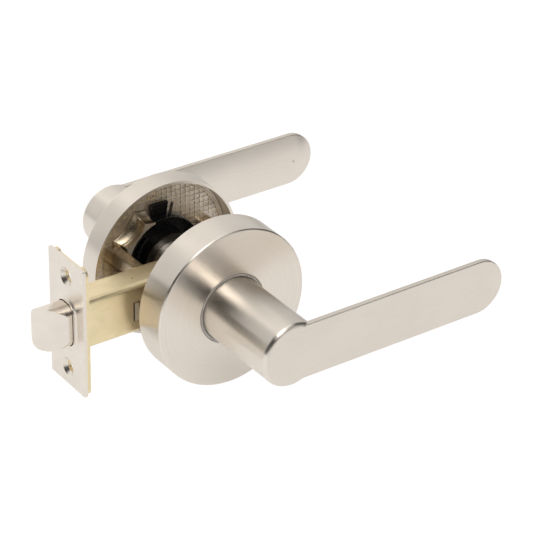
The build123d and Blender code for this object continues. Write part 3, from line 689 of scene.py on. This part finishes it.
class OBJECT_OT_lockset_castings(bpy.types.Operator):
    """Raw castings under the roses, with the raised grid and marks on their floors"""

    bl_idname = "object.lockset_castings"
    bl_label = "Castings"

    def execute(self, context):
        sizes = context.scene.lockset_castings
        # The grid's ribs get a lighter copy of the casting.
        raw, pale_ribs = casting("raw_casting", 1.0), casting("pale_rib_casting", 1.35)
        dress([f"{half}_base" for half in HALVES] + ["latch_hub"], raw)
        for half, side in zip(HALVES, (-1, 1)):
            low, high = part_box(f"{half}_base")
            reach = high.x
            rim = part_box(f"{half}_rose")[1 if side < 0 else 0].y
            floor = rim + side * SKIRT_FOOT
            self.add_grid(half, pale_ribs, floor, -side * sizes.grid_height, reach, sizes)
            self.add_skirt(half, raw, rim, side)
            self.add_marks(half, raw, floor, -side)
        return {"FINISHED"}

    def add_grid(self, half, material, floor, rise, reach, sizes):
        """Ribs both ways across the floor, clear of the cage, the fluted wall and the screws."""
        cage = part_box(f"{half}_spring_cage")[1].x
        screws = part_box("through_screws")[1].x - SCREW_HEAD_R

        def is_open(x, z):
            radius = math.hypot(x, z)
            if not cage + CAGE_GAP < radius < reach - EDGE_GAP:
                return False
            if abs(z) < SCREW_GAP_Z and abs(abs(x) - screws) < SCREW_GAP_X:
                return False
            angle = abs(math.degrees(math.atan2(z, x)))
            return not (radius < WALL_REACH and WALL_FROM < angle < WALL_TO)

        made = bmesh.new()
        count = int(reach / sizes.grid_pitch)
        for index in range(-count, count + 1):
            line = index * sizes.grid_pitch
            for start, end in runs(-reach, reach, GRID_SEARCH, lambda spot: is_open(spot, line)):
                if end - start > sizes.grid_pitch / 2:
                    add_ridge(made, (start, line), (end, line), sizes.grid_width, floor, floor + rise)
            for start, end in runs(-reach, reach, GRID_SEARCH, lambda spot: is_open(line, spot)):
                if end - start > sizes.grid_pitch / 2:
                    add_ridge(made, (line, start), (line, end), sizes.grid_width, floor,
                              floor + CROSS_RISE * rise)
        add_piece(f"{half}_base_grid", made, material, FIXED)

    def add_skirt(self, half, material, rim, side):
        """The flared foot of the fluted wall, down to the floor on both sides of the level line."""
        made = bmesh.new()
        for mirrored in (1, -1):
            sections = []
            for step in range(SKIRT_STEPS + 1):
                angle = SKIRT_ANGLES[0] + (SKIRT_ANGLES[1] - SKIRT_ANGLES[0]) * step / SKIRT_STEPS
                wall = flute_radius(angle)
                profile = [(wall - SKIRT_TUCK, SKIRT_TOP)]
                for part in range(SKIRT_PARTS + 1):
                    share = part / SKIRT_PARTS
                    profile.append((wall + SKIRT_FLARE * share ** SKIRT_CURVE,
                                    SKIRT_TOP + (SKIRT_FOOT - SKIRT_TOP) * share))
                profile.append((wall - SKIRT_TUCK, SKIRT_FOOT))
                turn = math.radians(angle)
                sections.append([
                    made.verts.new((radius * math.cos(turn), rim + side * height,
                                    mirrored * radius * math.sin(turn)))
                    for radius, height in profile
                ])
            for first, second in zip(sections, sections[1:]):
                for corner in range(len(first)):
                    after = (corner + 1) % len(first)
                    made.faces.new((first[corner], first[after], second[after], second[corner])).smooth = True
            made.faces.new(sections[0])
            made.faces.new(reversed(sections[-1]))
        add_piece(f"{half}_wall_skirt", made, material, FIXED)

    def add_marks(self, half, material, floor, inwards):
        """A plain rim round the grid, and the rings of an ejector pin."""
        made = bmesh.new()
        top = floor + inwards * CAST_RING_RISE
        add_lathe(made, cast_ring(RIM_RING_R, RIM_RING_HALF, RIM_RING_TOP, floor, top), (0, 0), steps=160)
        for radius in PIN_RINGS:
            add_lathe(made, cast_ring(radius, PIN_RING_HALF, PIN_RING_TOP, floor, top), PIN_AT)
        add_piece(f"{half}_base_rings", made, material, FIXED)


class OBJECT_OT_lockset_cages(bpy.types.Operator):
    """Blackened spring cages and rotors, with their springs and washers"""

    bl_idname = "object.lockset_cages"
    bl_label = "Spring Cages"

    def execute(self, context):
        looks = context.scene.lockset_finishes
        black = blackened_steel()
        spring = satin_plate("oiled_spring_wire", OILED_WIRE, 0.32)
        bright = satin_plate("bright_zinc_steel", looks.steel, 0.26)
        for half, side in zip(HALVES, (-1, 1)):
            self.add_bearing_rings(half, side, black, bright)
            dress([f"{half}_spring_cage", f"{half}_rotor"], black)
            dress([f"{half}_return_spring", f"{half}_retaining_clip", f"{half}_thrust_washer"], spring)
        dress(["lever_set_screws"], black)
        dress(["bolt_spring"], spring)
        dress(["spindle", "through_screws", "rocker_pivot_pin", "hub_drive_pin", "rocker", "rocker_tip_pin",
               "tail_plate", "tail_rivets"], bright)
        return {"FINISHED"}

    def add_bearing_rings(self, half, side, black, bright):
        """A dark seat and two bright rings on the inner end of a lever's bearing."""
        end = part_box(f"{half}_lever")[1 if side < 0 else 0].y
        for name, material, slot, rings in (
            ("bearing_seat", black, "black_steel", SEAT_RINGS),
            ("bearing_rings", bright, "bright_steel", BRIGHT_RINGS),
        ):
            made = bmesh.new()
            for inner, outer, rise in rings:
                face, top = end + side * RING_TUCK * MM, end - side * rise * MM
                profile = [(inner * MM, face), (outer * MM, face), (outer * MM, top), (inner * MM, top)]
                add_lathe(made, profile, (0, 0), steps=96)
            add_piece(f"{half}_{name}", made, material, "levers")


class OBJECT_OT_lockset_latch(bpy.types.Operator):
    """Latch: nickel faceplate and bolt, yellow zinc case and back plate"""

    bl_idname = "object.lockset_latch"
    bl_label = "Latch"

    def execute(self, context):
        looks = context.scene.lockset_finishes
        dress(["latch_case", "latch_backplate"], zinc_plate())
        dress(["spring_stop"], satin_plate("bright_yellow_zinc", BRIGHT_YELLOW_ZINC, 0.4))
        dress(["latch_faceplate"], satin_plate("faceplate_nickel", looks.nickel, 0.30))
        dress(["latch_bolt"], satin_plate("bolt_nickel", looks.nickel, 0.24))
        return {"FINISHED"}


class OBJECT_OT_lockset_studio(bpy.types.Operator):
    """Pale floor, soft studio light and the camera"""

    bl_idname = "object.lockset_studio"
    bl_label = "Studio"

    def execute(self, context):
        self.add_floor(context)
        self.add_sky(context)
        self.add_camera(context)
        context.scene.view_settings.view_transform = "Standard"
        return {"FINISHED"}

    def add_floor(self, context):
        """A wide floor that stays white to the eye, and lights the metal from below."""
        made = bmesh.new()
        bmesh.ops.create_grid(made, x_segments=1, y_segments=1, size=FLOOR_REACH)
        mesh = bpy.data.meshes.new("floor")
        made.to_mesh(mesh)
        made.free()
        floor = bpy.data.objects.new("floor", mesh)
        floor.location.z = cad_box[0].z
        context.scene.collection.objects.link(floor)
        material = bpy.data.materials.new("pale_floor")
        material.use_nodes = True
        tree = material.node_tree
        tree.nodes.clear()
        matt = node(tree, "ShaderNodeBsdfDiffuse", {"Color": rgba(context.scene.lockset_studio.floor)})
        glow = node(tree, "ShaderNodeEmission", {"Color": (1, 1, 1, 1), "Strength": FLOOR_GLOW})
        seen = node(tree, "ShaderNodeLightPath").outputs["Is Camera Ray"]
        share = maths(tree, "MULTIPLY_ADD", seen, SEEN_SHARE, GLOW_SHARE)
        both = node(tree, "ShaderNodeMixShader", {0: share, 1: matt.outputs[0], 2: glow.outputs[0]})
        node(tree, "ShaderNodeOutputMaterial", {"Surface": both.outputs[0]})
        mesh.materials.append(material)

    def add_sky(self, context):
        """The studio round the lockset: a dim room with soft panels, and plain white to the eye."""
        world = bpy.data.worlds.new("studio")
        context.scene.world = world
        world.use_nodes = True
        tree = world.node_tree
        tree.nodes.clear()
        way = node(tree, "ShaderNodeTexCoord").outputs["Generated"]
        light = ROOM_LIGHT
        for (azimuth, elevation), inner, outer, strength in STUDIO_PANELS:
            towards = vector_maths(tree, "DOT_PRODUCT", way, direction(azimuth, elevation))
            panel = spread(tree, towards, math.cos(math.radians(outer)), math.cos(math.radians(inner)))
            light = maths(tree, "MULTIPLY_ADD", panel, strength, light)
        panels = node(tree, "ShaderNodeBackground", {"Color": rgba(ROOM_TINT), "Strength": light})
        plain = node(tree, "ShaderNodeBackground", {"Color": (1, 1, 1, 1), "Strength": 1.0})
        seen = node(tree, "ShaderNodeLightPath").outputs["Is Camera Ray"]
        both = node(tree, "ShaderNodeMixShader", {0: seen, 1: panels.outputs[0], 2: plain.outputs[0]})
        node(tree, "ShaderNodeOutputWorld", {"Surface": both.outputs[0]})

    def add_camera(self, context):
        """The camera, aimed past the spindle's middle."""
        studio = context.scene.lockset_studio
        level = math.cos(studio.elevation)
        back = Vector((math.sin(studio.azimuth) * level, -math.cos(studio.azimuth) * level,
                       math.sin(studio.elevation)))
        right = (-back).cross(Vector((0, 0, 1))).normalized()
        up = right.cross(-back)
        turn = Matrix.Rotation(studio.roll, 3, back)
        right, up = turn @ right, turn @ up
        spot = right * studio.aim_right + up * studio.aim_up + back * studio.distance
        lens = bpy.data.cameras.new("camera")
        lens.lens = studio.lens
        lens.clip_start, lens.clip_end = 0.01, 50.0
        camera = bpy.data.objects.new("camera", lens)
        camera.matrix_world = Matrix.Translation(spot) @ Matrix((right, up, back)).transposed().to_4x4()
        context.scene.collection.objects.link(camera)
        context.scene.camera = camera


# ---- panel and registration ---------------------------------------------------------------------

STEPS = (
    OBJECT_OT_lockset_nickel,
    OBJECT_OT_lockset_castings,
    OBJECT_OT_lockset_cages,
    OBJECT_OT_lockset_latch,
    OBJECT_OT_lockset_studio,
)


class VIEW3D_PT_lockset(bpy.types.Panel):
    """The steps that dress the lockset, and what they read."""

    bl_label = "Lever Lockset"
    bl_idname = "VIEW3D_PT_lockset"
    bl_space_type = "VIEW_3D"
    bl_region_type = "UI"
    bl_category = "Lockset"

    def draw(self, context):
        for group in ("lockset_finishes", "lockset_castings", "lockset_studio"):
            settings = getattr(context.scene, group)
            box = self.layout.box()
            for name in settings.__annotations__:
                box.prop(settings, name)
        for step in STEPS:
            self.layout.operator(step.bl_idname)


SETTINGS = {
    "lockset_finishes": LocksetFinishes,
    "lockset_castings": LocksetCastings,
    "lockset_studio": LocksetStudio,
}


def register():
    for name, group in SETTINGS.items():
        bpy.utils.register_class(group)
        setattr(bpy.types.Scene, name, bpy.props.PointerProperty(type=group))
    for step in STEPS:
        bpy.utils.register_class(step)
    bpy.utils.register_class(VIEW3D_PT_lockset)


def unregister():
    bpy.utils.unregister_class(VIEW3D_PT_lockset)
    for step in reversed(STEPS):
        bpy.utils.unregister_class(step)
    for name, group in reversed(SETTINGS.items()):
        delattr(bpy.types.Scene, name)
        bpy.utils.unregister_class(group)


def main():
    register()
    bpy.ops.object.lockset_nickel()
    bpy.ops.object.lockset_castings()
    bpy.ops.object.lockset_cages()
    bpy.ops.object.lockset_latch()
    bpy.ops.object.lockset_studio()


if __name__ == "__main__":
    main()
